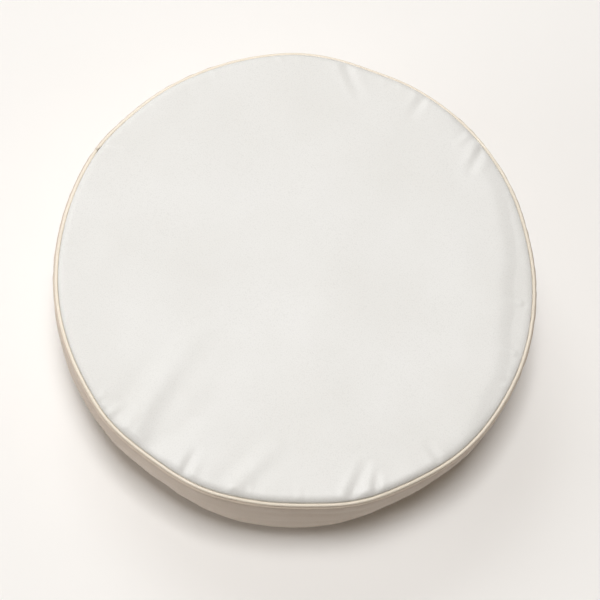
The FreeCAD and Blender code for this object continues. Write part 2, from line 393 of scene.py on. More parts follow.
def clothPlace(tree):
    return result(tree, "ShaderNodeUVMap", uv_map="cloth")


vinylFinish = {
    "white": ((0.790, 0.795, 0.785), (0.768, 0.770, 0.752)),
    # painted shade: the side band is the same white vinyl as the front, made darker and warmer so
    # that it looks shaded
    "band": ((0.66, 0.57, 0.485), (0.625, 0.535, 0.45)),
    "cream": ((0.85, 0.785, 0.68), (0.80, 0.73, 0.62)),
    # painted shade: the grain's valleys are darkened to this share of the colour
    "valleyShadeDarkness": 0.70,      # colour in the grain's valleys, as a share of the rest
    "valleyShadeShare": 0.20,     # how much of that colour shows
    "dust": (0.86, 0.85, 0.82),
    "dustShare": 0.12,
    "roughness": (0.46, 0.60),
}


def makeVinyl(name, colours, grainScale, grainHeight, roughness=vinylFinish["roughness"]):
    material, tree, shader = newFinish(name, Specular_IOR_Level=0.32, IOR=1.48)
    place = bodyPlace(tree)
    grain = fillGroup(tree, "grain", {"Vector": place, "Scale": grainScale})
    wear = fillGroup(tree, "handling", {"Vector": place})
    base = blendColours(tree, wear["Patches"], *colours)
    # painted shade in the grain's valleys
    valleyShadeColour = tuple(channel * vinylFinish["valleyShadeDarkness"] for channel in colours[1])
    valleyShadeMix = maths(tree, "MULTIPLY", grain["ValleyShade"], vinylFinish["valleyShadeShare"])
    shaded = blendColours(tree, valleyShadeMix, base, valleyShadeColour)
    dust = maths(tree, "MULTIPLY", wear["Dust"], vinylFinish["dustShare"])
    dusted = blendColours(tree, dust, shaded, vinylFinish["dust"])
    applyFinish(tree, shader, dusted, spread(tree, wear["Patches"], *roughness),
                grain["Height"], 0.55, grainHeight)
    return material


def makeBacking():
    material, tree, shader = newFinish("knitBacking", Specular_IOR_Level=0.2,
                                       Sheen_Weight=0.15)
    knit = fillGroup(tree, "weave", {
        "Vector": clothPlace(tree), "Across Pitch": 0.0011, "Along Pitch": 0.0014})
    wear = fillGroup(tree, "handling", {"Vector": bodyPlace(tree), "Patch Scale": 9.0})
    base = blendColours(tree, wear["Patches"], (0.60, 0.585, 0.55), (0.53, 0.51, 0.47))
    applyFinish(tree, shader, blendColours(tree, knit["Gap"], base, (0.33, 0.31, 0.28)),
                spread(tree, knit["Height"], 0.95, 0.8), knit["Height"], 0.6, 0.0003)
    return material


def makeYarn(name, colours, twists, height):
    material, tree, shader = newFinish(name, Specular_IOR_Level=0.35, Sheen_Weight=0.2)
    along, around = (addNode(tree, "ShaderNodeAttribute", attribute_name=label).outputs["Fac"]
                     for label in ("along", "around"))
    twist = fillGroup(tree, "twist", {
        "Along": along, "Round": around, "Twists": twists, "Plies": 3.0})
    applyFinish(tree, shader, blendColours(tree, twist["Groove"], *colours),
                spread(tree, twist["Height"], 0.7, 0.5), twist["Height"], 0.5, height)
    return material


def makeWoven(name, colours, pitches, height, specular):
    material, tree, shader = newFinish(name, Specular_IOR_Level=specular, Sheen_Weight=0.1)
    cloth = fillGroup(tree, "weave", {
        "Vector": clothPlace(tree), "Across Pitch": pitches[0], "Along Pitch": pitches[1]})
    applyFinish(tree, shader, blendColours(tree, cloth["Gap"], *colours),
                spread(tree, cloth["Height"], 0.85, 0.65), cloth["Height"], 0.7, height)
    return material


finishes = {
    "whiteVinyl": makeVinyl("whiteVinyl", vinylFinish["white"], 700.0, 0.00012),
    "shadedBandVinyl": makeVinyl("shadedBandVinyl", vinylFinish["band"], 700.0, 0.00012),
    "creamVinyl": makeVinyl("creamVinyl", vinylFinish["cream"], 1300.0, 0.00006, (0.4, 0.52)),
    "backing": makeBacking(),
    "whiteThread": makeYarn("whiteThread", ((0.84, 0.83, 0.80), (0.55, 0.54, 0.50)),
                            3.0, 0.00006),
    "creamThread": makeYarn("creamThread", ((0.74, 0.66, 0.54), (0.48, 0.40, 0.30)),
                            3.0, 0.00006),
    "fillerCord": makeYarn("fillerCord", ((0.78, 0.75, 0.68), (0.45, 0.42, 0.36)),
                           180.0, 0.0003),
    "elastic": makeWoven("braidedElastic", ((0.80, 0.79, 0.76), (0.42, 0.41, 0.39)),
                         (0.0016, 0.0007), 0.0003, 0.3),
    "label": makeWoven("wovenLabel", ((0.86, 0.86, 0.84), (0.62, 0.62, 0.60)),
                       (0.0004, 0.0003), 0.00008, 0.4),
}
print("finishes made")

# front panel: a disc that rolls over at the rim and hangs inside the band as a seam edge
frontPanelMake = {
    "vinyl": 0.0008,
    "columns": 768,
    # rings of points inside the plateau's edge: from a radius, to a radius, how many
    "coarseRings": (0.03, 0.24, 8),
    "fineRings": (0.262, 36),
    "plateauGap": 0.0022,
    "rollRings": 10,
    "skirtRings": 5,
    "cutBeyondRim": 0.0185,  # flat disc's radius beyond the piping's centre line
    "roll": topHeight - rimHeight,
    "rollSquare": 0.90,      # 1 is a true quarter circle, less is a squarer shoulder
    "billow": 0.0016,        # broad unevenness, up and down
    # its waves: about how many in a metre, their share, and a level in the noise
    "billowWaves": [(7, 1.0, 3.1), (19, 0.35, 7.7)],
    "ripple": 0.00035,       # finer unevenness near the seam
    "rippleReach": 0.045,
    "rippleNoise": (0.011, 0.03, 5.0),
    "ledgeSlopes": (0.23, 0.09),   # fall of the cloth where nothing holds it up
    "ledgeTurn": 0.020,      # width of the steeper fall
    "ledgeSoft": 0.007,
    "ledgeFade": 0.02,
    "ledgeWander": 0.004,
    "ledgeNoise": (0.05, 1.0, 9.0),
    # where that sinking begins: azimuth in degrees, millimetres in from the rim
    "ledgeLine": [(-52, 0), (-40, 12), (-23, 24), (-7, 37), (1, 48), (14, 48), (26, 38),
                  (39, 31), (55, 17), (60, 13), (66, 0)],
    # puckers: azimuth and millimetres in at both ends, height and half width in millimetres
    "puckers": [
        (-126, 4, -126, 26, 1.7, 5.5), (-121, 8, -122, 34, 1.0, 5.0),
        (-119.5, 10, -131, 166, 2.6, 17.0), (-103.5, 4, -103.5, 40, -1.9, 6.5),
        (-91, 14, -83, 84, 1.6, 12.0), (-112, 12, -107, 120, -1.2, 15.0),
        (-62.8, 6, -57.4, 46, -2.1, 7.5), (-57, 5, -55.3, 28, -1.6, 5.8),
        (-39.8, 8, -39.8, 34, -1.2, 6.5), (70.3, 8, 70.3, 46, -1.3, 7.5),
        (50.2, 8, 47, 44, -2.1, 7.0), (55.4, 10, 55.4, 34, 0.8, 5.0),
        (7.4, 20, 7.4, 42, 0.8, 4.6), (-5.9, 15, -5.9, 34, 0.8, 4.6),
        (91.8, 10, 86.6, 50, -1.3, 8.0), (161.5, 2, 160, 28, -1.0, 6.0),
    ],
    "puckerScale": 1.6,
    "puckerTrough": (0.45, 1.9),   # dip beside each: its depth, and how far out it lies
    "puckerFade": 0.8,       # share of the height that is lost by the far end
    "puckerMargin": 0.03,
    "smallPuckers": 46,
    # their ranges: azimuth, millimetres in at the start, reach, lean in degrees, height
    "smallRanges": [(-180, 180), (3, 8), (7, 20), (-1.5, 1.5), (0.2, 0.5)],
    "smallWidth": 4.0,
    "seed": 11,
}


def panelSpot(azimuth, inside):
    radius = skirtRadius - inside / 1000
    turn = math.radians(azimuth)
    return np.array([radius * math.cos(turn), radius * math.sin(turn)])


def allPuckers():
    make = frontPanelMake
    chance = np.random.default_rng(make["seed"])
    small = []
    for _ in range(make["smallPuckers"]):
        azimuth, start, reach, lean, height = (
            chance.uniform(low, high) for low, high in make["smallRanges"])
        small.append((azimuth, start, azimuth + lean, start + reach, height,
                      make["smallWidth"]))
    return make["puckers"] + small


def panelRelief(turn, radius):
    # how far the top of the panel rises or sinks at a place
    make = frontPanelMake
    inside = skirtRadius - radius
    x, y = radius * np.cos(turn), radius * np.sin(turn)
    billow = 0
    for count, share, level in make["billowWaves"]:
        spots = zip(x.ravel() * count, y.ravel() * count)
        wave = np.array([noise.noise(Vector((a, b, level))) for a, b in spots])
        billow = billow + share * wave
    relief = make["billow"] * billow.reshape(x.shape)
    near = smooth(1 - inside / make["rippleReach"])
    relief = relief + make["ripple"] * near * noiseRound(turn, inside, *make["rippleNoise"])

    azimuths, reaches = zip(*make["ledgeLine"])
    begins = np.interp(np.degrees(turn), azimuths, reaches) / 1000
    wander = make["ledgeWander"] * noiseRound(turn, inside * 0, *make["ledgeNoise"])
    begins = np.where(begins > 0, begins + wander, begins)
    past = begins - inside
    past = (past + np.hypot(past, make["ledgeSoft"])) / 2 * smooth(begins / make["ledgeFade"])
    steep, gentle = make["ledgeSlopes"]
    fall = steep * np.minimum(past, make["ledgeTurn"])
    relief = relief - fall - gentle * np.maximum(past - make["ledgeTurn"], 0)

    dip, aside = make["puckerTrough"]
    for startAzimuth, startInside, endAzimuth, endInside, height, width in allPuckers():
        start, end = panelSpot(startAzimuth, startInside), panelSpot(endAzimuth, endInside)
        run = end - start
        size = float(run @ run)
        reach = math.sqrt(size) + make["puckerMargin"]
        near = np.hypot(x - start[0], y - start[1]) < reach
        here = np.stack([x[near], y[near]], axis=-1) - start
        along = np.clip(here @ run / size, 0, 1)
        away = np.linalg.norm(here - along[:, None] * run, axis=1) / (width / 1000)
        crest = np.exp(-away ** 2) - dip * np.exp(-(away - aside) ** 2)
        fade = 1 - make["puckerFade"] * along
        relief[near] += make["puckerScale"] * height / 1000 * crest * fade
    return relief


def panelRows():
    # the section from the centre out: radius, height, share of the relief, and outward slant
    make = frontPanelMake
    plateau = skirtRadius - make["roll"]
    fineStart, fineCount = make["fineRings"]
    inner = np.concatenate([
        np.linspace(*make["coarseRings"]),
        np.linspace(fineStart, plateau - make["plateauGap"], fineCount)])
    rows = [(radius, topHeight, 1.0, 0.0) for radius in inner]
    for step in np.linspace(0, 90, make["rollRings"]):
        angle = math.radians(step)
        out = abs(math.sin(angle)) ** make["rollSquare"]
        up = abs(math.cos(angle)) ** make["rollSquare"]
        rows.append((plateau + make["roll"] * out, rimHeight + make["roll"] * up, up, angle))
    for height in np.linspace(rimHeight, seamEdge, make["skirtRings"])[1:]:
        rows.append((skirtRadius, height, 0.0, math.pi / 2))
    return np.array(rows)


def layFlat(piece, turn, rows):
    # the cloth's own coordinates: each point where it lay on the flat disc, in metres
    reach = rows[0, 0] + runsAlong(rows[:, :2])
    reach = np.concatenate([reach, reach[::-1]])[:, None]
    spots = np.stack([reach * np.cos(turn), reach * np.sin(turn)], axis=-1).reshape(-1, 2)
    spots = np.concatenate([spots, [[0, 0], [0, 0]]])
    corners = np.zeros(len(piece.data.loops), dtype=np.int32)
    piece.data.loops.foreach_get("vertex_index", corners)
    cloth = piece.data.uv_layers["cloth"]
    cloth.data.foreach_set("uv", spots[corners].astype(np.float32).ravel())


def makeFrontPanel():
    make = frontPanelMake
    turn = ringTurns(make["columns"])[None, :]
    rows = panelRows()
    radius, height, share, slant = (rows[:, k][:, None] for k in range(4))
    outline = np.broadcast_arrays(radius, turn)[0]
    relief = panelRelief(turn + 0 * outline, outline) * share
    faces = []
    for depth in (0, make["vinyl"]):
        r = radius - depth * np.sin(slant)
        z = height - depth * np.cos(slant) + relief
        r, z = followRim(turn, r + 0 * turn, z)
        faces.append(standing(turn, r, z))
    points = np.concatenate([faces[0], faces[1][::-1]])
    centre = float(faces[0][0, :, 2].mean())
    poles = [((0, 0, centre), 0, False), ((0, 0, centre - make["vinyl"]), len(points) - 1, True)]
    piece = gridPiece("frontPanel", points, closedSection=False, poles=poles)
    layFlat(piece, turn[0], rows)
    hand(piece, "white_vinyl", "front_panel", "whiteVinyl", "backing")
    count = len(rows)
    showBacking(piece, make["columns"], (count - 1, 2 * count - 1), (2 * count, 2 * count + 1))


makeFrontPanel()
print("front panel made")

# side band: turned seam edge, crowned face, rear corner, rear return and hem casing
sideBandMake = {
    "vinyl": 0.0008,
    "columns": 512,
    "foldRadius": 0.0007,    # of the turned edge, to the middle of the cloth
    "foldShift": 0.00003,    # of its centre, outwards from the thread in the fold
    "crownRadius": 0.8,
    "shoulderRadius": 0.050,
    "fineEnd": 0.006,        # how far below the seam edge the closer rows go
    "mouthInset": 0.00265,   # from the elastic's inner edge in to the hem's fold
    "casingWidth": 0.0173,   # from the same edge out to the casing's raw edge
    "labelGap": 0.0001,
    # how far the turned edges inside push the face out, and where: height from the
    # topstitching, spread, share
    "seamBulk": 0.0016,
    "seamRidges": [(0.0022, 0.0013, 1.0), (-0.0033, 0.0022, 0.8)],
    "seamUneven": 0.5,
    "seamNoise": (0.012, 1.0, 41.0),
    "faceStart": (0.0006, 0.002),  # run past the fold where relief starts, and its fade
    "faceEnd": (0.02, 0.04),       # run past the face's lower end where it ends, and its fade
    "calmSeam": (0.004, 0.02),     # height below the topstitching that stays flat
    "buckle": 0.0013,        # soft upright waves of the face
    "buckleNoise": (0.030, 0.16, 51.0),
    "crease": 0.0013,        # long creases that run with the piping
    "creaseNoise": (0.30, 0.015, 61.0),
    "tuck": 0.0035,          # how far the face draws in towards the rear
    # where it is pushed in further: azimuth and half spread in degrees, millimetres
    "tucks": [(-119, 19, 13.0), (-42, 13, 8.0), (60, 25, 3.0)],
    "tuckTop": 0.135,        # height where that starts
    "tuckReach": 0.10,
    "tuckStop": 0.01,        # distance from the casing where it has ended
    "gathers": 68,
    "gatherHeight": 0.0062,  # of the folds round the mouth
    "gatherWander": 2.6,
    "wanderNoise": (0.16, 0.5, 21.0),
    "gatherSharpness": 1.35,
    "gatherSizes": (0.75, 0.75),   # usual size and how far it varies
    "sizeNoise": (0.035, 0.12, 33.0),
    "sizeLimits": (0.15, 1.4),
    "gatherRise": 1.3,
    "gatherSpan": (0.012, 0.02),   # start before the face's end, and how much shorter
    "casingHold": 0.45,      # share of the folds that the casing presses flat
    "holdSpan": (0.012, 0.02),     # start before the casing, and length
    "cutWidth": 0.328,
    "cutLength": 2.334,
}


def arcRun(centre, radius, start, end, count):
    angles = np.radians(np.linspace(start, end, count))
    return [(centre[0] + radius * math.cos(a), centre[1] + radius * math.sin(a)) for a in angles]


def lineRun(start, end, count):
    return [tuple(np.array(start) + (np.array(end) - np.array(start)) * share)
            for share in np.linspace(0, 1, count)]


def bandLine():
    # the middle line of the cloth, and the places along it that the shapes below need
    make = sideBandMake
    half = make["vinyl"] / 2
    # the front seam's bobbin thread lies in the fold between the turned edge and the face
    fold = make["foldRadius"]
    foldCentre = middleReach("front_seam_bobbin_thread") + make["foldShift"]
    foldZ = bandHigh.z - half - fold
    turned, face = foldCentre - fold, foldCentre + fold
    crown, corner = make["crownRadius"], make["shoulderRadius"] - half
    crownHalf = (foldZ - half - corner) / (2 - corner / crown)
    crownZ = foldZ - crownHalf
    crownX = face - math.sqrt(crown ** 2 - crownHalf ** 2)
    slope = math.degrees(math.asin(crownHalf / crown))
    cornerX = face - corner * (face - crownX) / crown
    coverZ = labelLow.z - make["labelGap"] - half
    casingRadius = (coverZ - half) / 2
    casingX = elasticInner - make["mouthInset"] + half + casingRadius
    fine = math.degrees(math.asin((seamEdge - make["fineEnd"] - crownZ) / crown))
    lines = [
        lineRun((turned, seamEdge), (turned, foldZ), 5),
        arcRun((foldCentre, foldZ), fold, 180, 0, 6)[1:],
        arcRun((crownX, crownZ), crown, slope, fine, 21)[1:],
        arcRun((crownX, crownZ), crown, fine, -slope, 22)[1:],
        arcRun((cornerX, half + corner), corner, -slope, -90, 13)[1:],
        lineRun((cornerX, half), (casingX, half), 15)[1:],
        arcRun((casingX, half + casingRadius), casingRadius, 270, 90, 7)[1:],
        lineRun((casingX, coverZ), (elasticInner + make["casingWidth"], coverZ), 5)[1:],
    ]
    spots = np.array([spot for line in lines for spot in line])
    return spots, {"joint": crownZ - crownHalf, "cornerX": cornerX, "casingX": casingX}


bandSpots, bandMarks = bandLine()
bandRuns = runsAlong(bandSpots)
bandNormals = normalsAlong(np.gradient(bandSpots, bandRuns, axis=0))
faceRows, rearRows = slice(10, 60), slice(60, 85)


def runAtHeight(height):
    return float(np.interp(-height, -bandSpots[faceRows, 1], bandRuns[faceRows]))


foldRun = float(bandRuns[np.argmax(bandSpots[:, 1])])
jointRun = runAtHeight(bandMarks["joint"])
returnRun = float(np.interp(-bandMarks["cornerX"], -bandSpots[rearRows, 0], bandRuns[rearRows]))
casingRun = returnRun + bandMarks["cornerX"] - bandMarks["casingX"]


def gatherWave(turn, run):
    # folds that the elastic draws up: none on the face, highest round the mouth
    make = sideBandMake
    wander = make["gatherWander"] * noiseRound(turn, run, *make["wanderNoise"])
    phase = make["gathers"] * turn + wander
    fold = ((1 + np.sin(phase)) / 2) ** make["gatherSharpness"]
    usual, varied = make["gatherSizes"]
    size = usual + varied * noiseRound(turn, run, *make["sizeNoise"])
    early, shorter = make["gatherSpan"]
    rise = smooth((run - jointRun + early) / (casingRun - jointRun - shorter))
    rise = rise ** make["gatherRise"]
    return make["gatherHeight"] * rise * fold * np.clip(size, *make["sizeLimits"])


def rearLift(turn, radius):
    # lift of the return and of everything in the casing at a radius
    run = returnRun + (bandMarks["cornerX"] - radius)
    early, length = sideBandMake["holdSpan"]
    settled = 1 - sideBandMake["casingHold"] * smooth((run - casingRun + early) / length)
    return gatherWave(turn, run) * settled


def faceRelief(turn, run):
    # ridges beside the topstitching, upright buckles and long creases of the face
    make = sideBandMake
    height = np.interp(run, bandRuns, bandSpots[:, 1])
    (start, startFade), (end, endFade) = make["faceStart"], make["faceEnd"]
    onFace = smooth((run - foldRun - start) / startFade) * smooth((jointRun + end - run) / endFade)
    row = middleHeight("topstitch_needle_thread")
    ridges = sum(share * np.exp(-((height - row - away) / width) ** 2)
                 for away, width, share in make["seamRidges"])
    uneven = 1 + make["seamUneven"] * noiseRound(turn, height * 0, *make["seamNoise"])
    calm, calmFade = make["calmSeam"]
    below = smooth((row - calm - height) / calmFade)
    buckle = make["buckle"] * below * noiseRound(turn, height, *make["buckleNoise"])
    crease = make["crease"] * below * noiseRound(turn, height, *make["creaseNoise"])
    return onFace * (make["seamBulk"] * uneven * ridges + buckle + crease)


def rearTuck(turn, run):
    # the lower band stands in from the rim where nothing fills it
    make = sideBandMake
    height = np.interp(run, bandRuns, bandSpots[:, 1])
    lower = np.where(run > foldRun, smooth((make["tuckTop"] - height) / make["tuckReach"]), 0)
    settled = 1 - smooth((run - returnRun) / (casingRun - returnRun - make["tuckStop"]))
    return (make["tuck"] + bumps(turn, make["tucks"])) * lower * settled


def bandPoint(turn, run, reach):
    # a point at a reach outside the cloth's middle line, carried by every shape of the band
    turn, run, reach = np.broadcast_arrays(turn, run, reach)
    line = [np.interp(run, bandRuns, values) for values in (
        bandSpots[:, 0], bandSpots[:, 1], bandNormals[:, 0], bandNormals[:, 1])]
    size = np.hypot(line[2], line[3])
    outX, outZ = line[2] / size, line[3] / size
    radius, height = line[0] + reach * outX, line[1] + reach * outZ
    onRear = run >= returnRun
    wave = gatherWave(turn, np.minimum(run, returnRun))
    lift = np.where(onRear, rearLift(turn, radius), -wave * outZ)
    push = np.where(onRear, 0, faceRelief(turn, run) - wave * outX)
    push = push - rearTuck(turn, run)
    radius, height = followRim(turn, radius + push, height)
    return standing(turn, radius, height + lift)


def makeSideBand():
    make = sideBandMake
    half = make["vinyl"] / 2
    turn = ringTurns(make["columns"])[None, :]
    run = bandRuns[:, None]
    outer = bandPoint(turn, run, half)
    inner = bandPoint(turn, run, -half)
    points = np.concatenate([outer, inner[::-1]])
    steps = np.concatenate([bandRuns, bandRuns[::-1], [0]])
    piece = gridPiece("sideBand", points, sectionSteps=steps,
                      acrossSteps=np.linspace(0, fullTurn * rimRadius, make["columns"] + 1))
    # the band's finish is the white vinyl with painted shade, darker and warmer than the front
    # panel
    hand(piece, "white_vinyl", "side_band", "shadedBandVinyl", "backing")
    showBacking(piece, make["columns"], (len(bandRuns), 2 * len(bandRuns) - 1))


makeSideBand()
print("side band made")

# piping: a folded sleeve over a twisted filler cord, whose two ends meet in a small kink
pipingMake = {
    "columns": 620,
    "skin": 0.0005,
    "legOffset": 0.0003,     # of each leg of the flange from the bead's middle
    "legDrop": 0.0026,       # how far below the bead's middle the legs start
    "cutWidth": 0.038,
    "lap": 0.02,
    "join": 162.8,           # azimuth in degrees where its ends meet
    "joinGap": 0.00015,      # half the gap between them
    "joinReach": 0.011,      # length over which each end leaves its line
    "outerEnd": (0.0011, 0.0006),   # how far the upper end pokes out and up
    "innerEnd": (0.0006, 0.0003),
    "freeing": (0.003, 0.004),      # depth below the bead where it leaves the seam, and fade
    "wobble": 0.00018,
    "wobbleNoise": (0.014, 1.0, 71.0),
    "cordEndInset": 0.0012,
    "cordSides": 14,
    "cordPlies": 3,
    "cordGroove": 0.10,      # depth of the grooves between plies, as a share
    "cordTwist": 0.016,      # length of one twist of the cord
}


def pipingTurns(inset=0.0):
    step = (pipingMake["joinGap"] + inset) / rimRadius
    start = math.radians(pipingMake["join"])
    return np.linspace(start + step, start + fullTurn - step, pipingMake["columns"])


def pipingPoint(turn, radius, height):
    # carries the bead off its line near the join and leaves the flange in the seam
    make = pipingMake
    start = math.radians(make["join"])
    fromStart = (turn - start) * rimRadius
    toEnd = (start + fullTurn - turn) * rimRadius
    depth, fade = make["freeing"]
    share = smooth((height - (rimHeight - beadRadius - depth)) / fade)
    out, up = 0, 0
    for away, (endOut, endUp) in ((fromStart, make["innerEnd"]), (toEnd, make["outerEnd"])):
        leaving = smooth(1 - away / make["joinReach"])
        out = out + endOut * leaving
        up = up + endUp * leaving
    wobble = make["wobble"] * noiseRound(turn, height * 0, *make["wobbleNoise"])
    radius, height = followRim(turn, radius + share * (out + wobble), height + share * up)
    return standing(turn, radius, height)


def offsetLoop(spots, distance):
    # closes a line into a loop at a distance on both sides of it
    normal = normalsAlong(np.gradient(spots, axis=0))
    return np.concatenate([spots + distance * normal, (spots - distance * normal)[::-1]])


def makePipingSleeve():
    make = pipingMake
    sleeveRadius = beadRadius - make["skin"] / 2
    leg, top = make["legOffset"], rimHeight - make["legDrop"]
    throat = math.degrees(math.asin(leg / sleeveRadius))
    line = lineRun((rimRadius - leg, seamEdge), (rimRadius - leg, top), 5)
    line += arcRun((rimRadius, rimHeight), sleeveRadius, 270 - throat, -90 + throat, 22)
    line += lineRun((rimRadius + leg, top), (rimRadius + leg, seamEdge), 5)
    loop = offsetLoop(np.array(line), make["skin"] / 2)
    turn = pipingTurns()[None, :]
    points = pipingPoint(turn, loop[:, 0][:, None], loop[:, 1][:, None])
    piece = gridPiece("pipingSleeve", points, closedRound=False,
                      sectionSteps=np.append(runsAlong(loop), 0),
                      acrossSteps=pipingTurns() * rimRadius)
    hand(piece, "cream_vinyl", "piping_sleeve", "creamVinyl")


def makePipingCord():
    make = pipingMake
    turn = pipingTurns(make["cordEndInset"])[None, :]
    around = np.linspace(0, -fullTurn, make["cordSides"], endpoint=False)[:, None]
    twist = turn * rimRadius / make["cordTwist"] * math.pi
    twisted = around * make["cordPlies"] / 2 + twist
    groove = make["cordGroove"]
    radius = cordRadius * (1 - groove + groove * np.abs(np.cos(twisted)))
    points = pipingPoint(turn, rimRadius + radius * np.cos(around),
                         rimHeight + radius * np.sin(around))
    piece = gridPiece("pipingCord", points, closedRound=False)
    for name, values in (("along", np.broadcast_to(turn * rimRadius, radius.shape)),
                         ("around", np.broadcast_to(around / fullTurn, radius.shape))):
        layer = piece.data.attributes.new(name, "FLOAT", "POINT")
        layer.data.foreach_set("value", values.astype(np.float32).ravel())
    hand(piece, "filler_cord", "piping_cord", "fillerCord")


makePipingSleeve()
makePipingCord()
print("piping made")

# elastic: a flat braid in the casing, its ends laid over each other and tacked
elasticMake = {
    "width": braidWidth,
    "thickness": 0.0015,
    "edge": 0.0004,          # how far its corners are worn round
    "lap": 0.025,
    "climb": 0.016,          # length over which the upper end climbs onto the lower one
    "columns": 560,
}


def makeHemElastic():
    make = elasticMake
    inner, centre, outer = (elasticInner + make["width"] * share for share in (0, 0.5, 1))
    halfLap = make["lap"] / 2 / centre
    turn = np.linspace(closingTurn - halfLap, closingTurn + fullTurn + halfLap, make["columns"])
    toLap = (closingTurn + fullTurn - halfLap - turn) * centre
    level = make["thickness"] * smooth(1 - toLap / make["climb"])
    edge, thick = make["edge"], make["thickness"]
    section = [(inner, edge), (inner + edge, 0), (centre, 0), (outer - edge, 0), (outer, edge)]
    section += [(radius, thick - height) for radius, height in section[::-1]]
    loop = np.array(section)[::-1]
    radius = loop[:, 0][:, None] + 0 * turn[None, :]
    height = elasticLow.z + loop[:, 1][:, None] + level[None, :]
    points = standing(turn[None, :], radius, height + rearLift(turn[None, :], radius))
    piece = gridPiece("hemElastic", points, closedRound=False,
                      sectionSteps=np.append(runsAlong(loop), 0), acrossSteps=turn * centre)
    hand(piece, "braided_elastic", "hem_elastic", "elastic")


makeHemElastic()
print("elastic made")

# care label: a blank woven tab caught under the hem row
labelMake = {
    "length": 0.045,
    "width": 0.028,
    "thickness": 0.0003,
    "turn": 12.0,            # degrees round from the closing seam
    "caught": 0.003,         # how much of it lies inside the hem's row
    "pressed": 0.006,        # width that the folds of the return still shape
    "freeing": 0.008,        # width over which it comes free of them
    "freeShare": 0.25,
    "freeLift": 0.0008,
    "curl": 0.0016,
    "curlWaves": (0.4, 21),  # their share, and radians of wave in a radian round
}


def makeCareLabel():
    make = labelMake
    hemRadius = middleReach("hem_needle_thread")
    inner = hemRadius - make["caught"]
    centre = closingTurn + math.radians(make["turn"])
    halfTurn = make["length"] / 2 / hemRadius
    turn = np.linspace(centre - halfTurn, centre + halfTurn, 46)[None, :]
    out = np.linspace(0, make["width"], 29)[:, None]
    radius = inner + out
    free = np.minimum(out / make["freeing"], 1)
    settled = rearLift(turn, np.minimum(radius, inner + make["pressed"]) + 0 * turn)
    share, waves = make["curlWaves"]
    curl = make["curl"] * smooth(out / make["width"]) * (1 + share * np.sin(waves * turn))
    lift = settled * (1 - make["freeShare"] * free) + curl + make["freeLift"] * free
    lower = standing(turn, radius, labelLow.z + lift)
    upper = standing(turn, radius, labelLow.z + make["thickness"] + lift)
    points = np.concatenate([upper, lower[::-1]])
    steps = np.concatenate([out[:, 0], out[::-1, 0], [0]])
    piece = gridPiece("careLabel", points, closedRound=False, sectionSteps=steps,
                      acrossSteps=turn[0] * hemRadius)
    hand(piece, "woven_label", "care_label", "label")


makeCareLabel()
print("label made")

# stitches: one short thread after another along a seam's path
stitchMake = {
    "pitch": 0.0036,
    "length": 0.0033,
    "radius": 0.00021,
    "rise": 0.00016,
    "sizes": (0.9, 1.04),    # least and greatest size of one stitch
    "seed": 7,
    "standOff": 0.00025,     # of a thread's middle from the cloth's face
    "ringPoints": 720,
    "closingGap": 0.004,     # half the distance between the two closing rows
    "closingPoints": 120,
    "closingFoot": 30,       # degrees of the rear corner that they stop short of
    "tackSpacing": 0.006,
    "tackInset": 0.001,      # from the elastic's inner edge
    "tackLength": 0.008,
}


def makeStitchTree():
    tree = bpy.data.node_groups.new("stitchRow", "GeometryNodeTree")
    kinds = {"Path": "Geometry", "Pitch": "Float", "Stitch Length": "Float",
             "Thread Radius": "Float", "Rise": "Float", "Seed": "Int", "Thread": "Material"}
    tree.interface.new_socket("Geometry", in_out="OUTPUT", socket_type="NodeSocketGeometry")
    for label, kind in kinds.items():
        tree.interface.new_socket(label, in_out="INPUT", socket_type="NodeSocket" + kind)
    given = tree.nodes.new("NodeGroupInput").outputs
    path = result(tree, "GeometryNodeMeshToCurve", {"Mesh": given["Path"]})
    spaced = result(tree, "GeometryNodeResampleCurve", {
        "Curve": path, "Length": given["Pitch"]}, mode="LENGTH")

    half = maths(tree, "MULTIPLY", given["Stitch Length"], 0.5)
    back = maths(tree, "MULTIPLY", half, -1.0)
    dip = maths(tree, "MULTIPLY", given["Rise"], -1.0)
    crest = maths(tree, "MULTIPLY", given["Rise"], 2.0)
    start, top, end = (result(tree, "ShaderNodeCombineXYZ", {"X": x, "Z": z})
                       for x, z in ((back, dip), (0.0, crest), (half, dip)))
    bow = result(tree, "GeometryNodeCurveQuadraticBezier", {
        "Resolution": 5, "Start": start, "Middle": top, "End": end})
    ring = result(tree, "GeometryNodeCurvePrimitiveCircle", {
        "Resolution": 6, "Radius": given["Thread Radius"]})
    marked = []
    for name, curve in (("along", bow), ("around", ring)):
        far = result(tree, "GeometryNodeSplineParameter")
        marked.append(result(tree, "GeometryNodeStoreNamedAttribute", {
            "Geometry": curve, "Name": name, "Value": far}))
    stitch = result(tree, "GeometryNodeCurveToMesh", {
        "Curve": marked[0], "Profile Curve": marked[1], "Fill Caps": True})

    outward = result(tree, "GeometryNodeInputNamedAttribute", {"Name": "outward"},
                     data_type="FLOAT_VECTOR")
    facing = result(tree, "FunctionNodeAxesToRotation", {
        "Primary Axis": result(tree, "GeometryNodeInputTangent"),
        "Secondary Axis": outward}, primary_axis="X", secondary_axis="Z")
    # inputs 2 and 3 and output 1 are the ones for single numbers
    least, greatest = stitchMake["sizes"]
    chance = addNode(tree, "FunctionNodeRandomValue", {
        2: least, 3: greatest, "Seed": given["Seed"]}, data_type="FLOAT").outputs[1]
    placed = result(tree, "GeometryNodeInstanceOnPoints", {
        "Points": spaced, "Instance": stitch, "Rotation": facing, "Scale": chance})
    real = result(tree, "GeometryNodeRealizeInstances", {"Geometry": placed})
    return closeGroup(tree, {"Geometry": result(tree, "GeometryNodeSetMaterial", {
        "Geometry": real, "Material": given["Thread"]})})


stitchTree = makeStitchTree()


